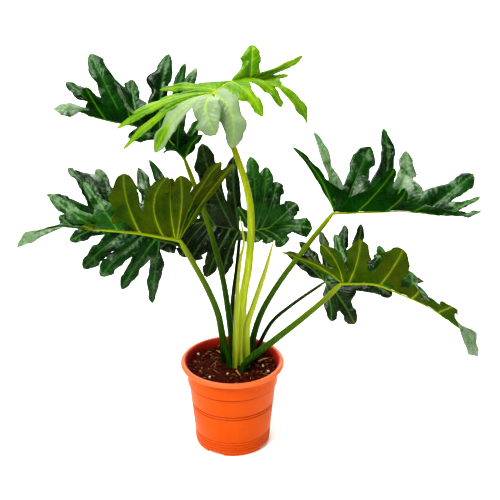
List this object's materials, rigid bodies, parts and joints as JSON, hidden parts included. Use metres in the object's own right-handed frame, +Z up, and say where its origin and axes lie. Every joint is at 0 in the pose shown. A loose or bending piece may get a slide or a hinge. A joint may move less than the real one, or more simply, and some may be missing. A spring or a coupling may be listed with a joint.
{
  "type": "potted philodendron",
  "caption": "Young split-leaf philodendron in a plain orange moulded nursery pot, with long arching stalks, deeply lobed glossy leaves, bare soil and surface roots.",
  "frame": {"origin": "centre of the pot's foot, on the surface it stands on", "axes": "+Z up, +X along the plant's longest spread, -Y is the front"},
  "size_m": [0.8006, 0.2946, 0.7404],
  "materials": {
    "pot_plastic": "satin injection-moulded polypropylene",
    "potting_mix": "loose dark potting mix",
    "stem": "soft green-brown stem",
    "stalk": "smooth green leaf stalk",
    "young_stalk": "smooth yellow-green leaf stalk",
    "leaf": "waxy dark green leaf",
    "young_leaf": "waxy bright green young leaf",
    "sheath": "pale papery sheath",
    "root": "dry tan root",
    "perlite": "white expanded perlite"
  },
  "bodies": {
    "root": {"pot": "pot_plastic", "soil": "potting_mix", "crown": "stem", "petiole_front_left": "stalk", "blade_front_left": "leaf", "petiole_back_left": "stalk", "blade_back_left": "leaf", "petiole_upper_left": "stalk", "blade_upper_left": "leaf", "petiole_young": "young_stalk", "blade_young": "young_leaf", "petiole_upper_right": "stalk", "blade_upper_right": "leaf", "petiole_front_right": "stalk", "blade_front_right": "leaf", "petiole_back_right": "stalk", "blade_back_right": "leaf", "petiole_centre_right": "stalk", "blade_centre_right": "leaf", "petiole_centre_left": "stalk", "blade_centre_left": "leaf", "sheath_left": "sheath", "sheath_right": "sheath", "root_left": "root", "root_back": "root", "root_right": "root", "root_front": "root", "perlite_1": "perlite", "perlite_2": "perlite", "perlite_3": "perlite", "perlite_4": "perlite", "perlite_5": "perlite"}
  },
  "joints": []
}
